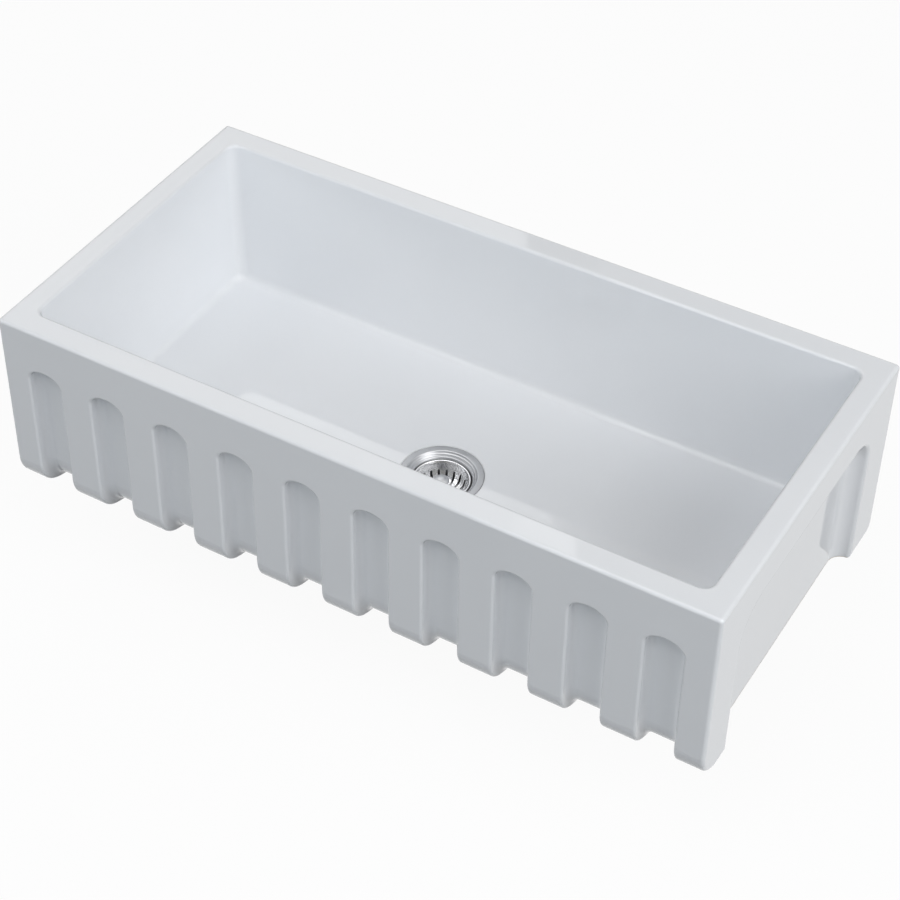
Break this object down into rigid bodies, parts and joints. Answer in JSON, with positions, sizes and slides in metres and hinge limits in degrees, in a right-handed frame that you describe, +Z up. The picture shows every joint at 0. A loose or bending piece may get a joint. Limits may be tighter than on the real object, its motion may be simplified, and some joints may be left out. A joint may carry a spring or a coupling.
{
  "type": "farmhouse kitchen sink",
  "caption": "White fireclay farmhouse sink with an arched fluted apron, end alcoves, a deep rectangular bowl and a lift-out basket strainer on its drain.",
  "frame": {"origin": "centre of the plane that the sink's feet stand on, on the drain's axis", "axes": "+Z up, +X along the sink, -Y out of the fluted apron"},
  "size_m": [0.914, 0.462, 0.3805],
  "materials": {
    "fireclay": "white gloss glaze",
    "polished_steel": "polished stainless steel with a satin flange",
    "plated_nut": "zinc plated",
    "chrome_tube": "chrome plated",
    "black_rubber": "matte black rubber",
    "white_seal": "soft white foam rubber",
    "fibre": "pressed fibre",
    "nylon": "natural nylon",
    "grey_plastic": "moulded light grey plastic"
  },
  "bodies": {
    "sink": {"sink_body": "fireclay", "flange_seal": "white_seal", "strainer_body": "polished_steel", "outlet_cross": "polished_steel", "under_gasket": "black_rubber", "friction_ring": "fibre", "locknut": "plated_nut", "tailpiece_washer": "nylon", "tailpiece": "chrome_tube", "coupling_nut": "grey_plastic"},
    "stem": {"basket_stem": "polished_steel", "basket_knob": "polished_steel", "stem_collar": "nylon", "stopper_seal": "black_rubber", "seal_plate": "polished_steel", "stem_sleeve": "nylon", "stem_clip": "plated_nut"},
    "basket": {"strainer_basket": "polished_steel", "basket_bush": "nylon"}
  },
  "joints": [
    {"name": "basket_lift", "type": "slide", "parent": "sink", "child": "stem", "axis": [0, 0, 1], "range_m": [0, 0.15]},
    {"name": "basket_spin", "type": "hinge", "parent": "stem", "child": "basket", "pos_m": [0, 0, 0.0148], "axis": [0, 0, 1], "continuous": true}
  ]
}
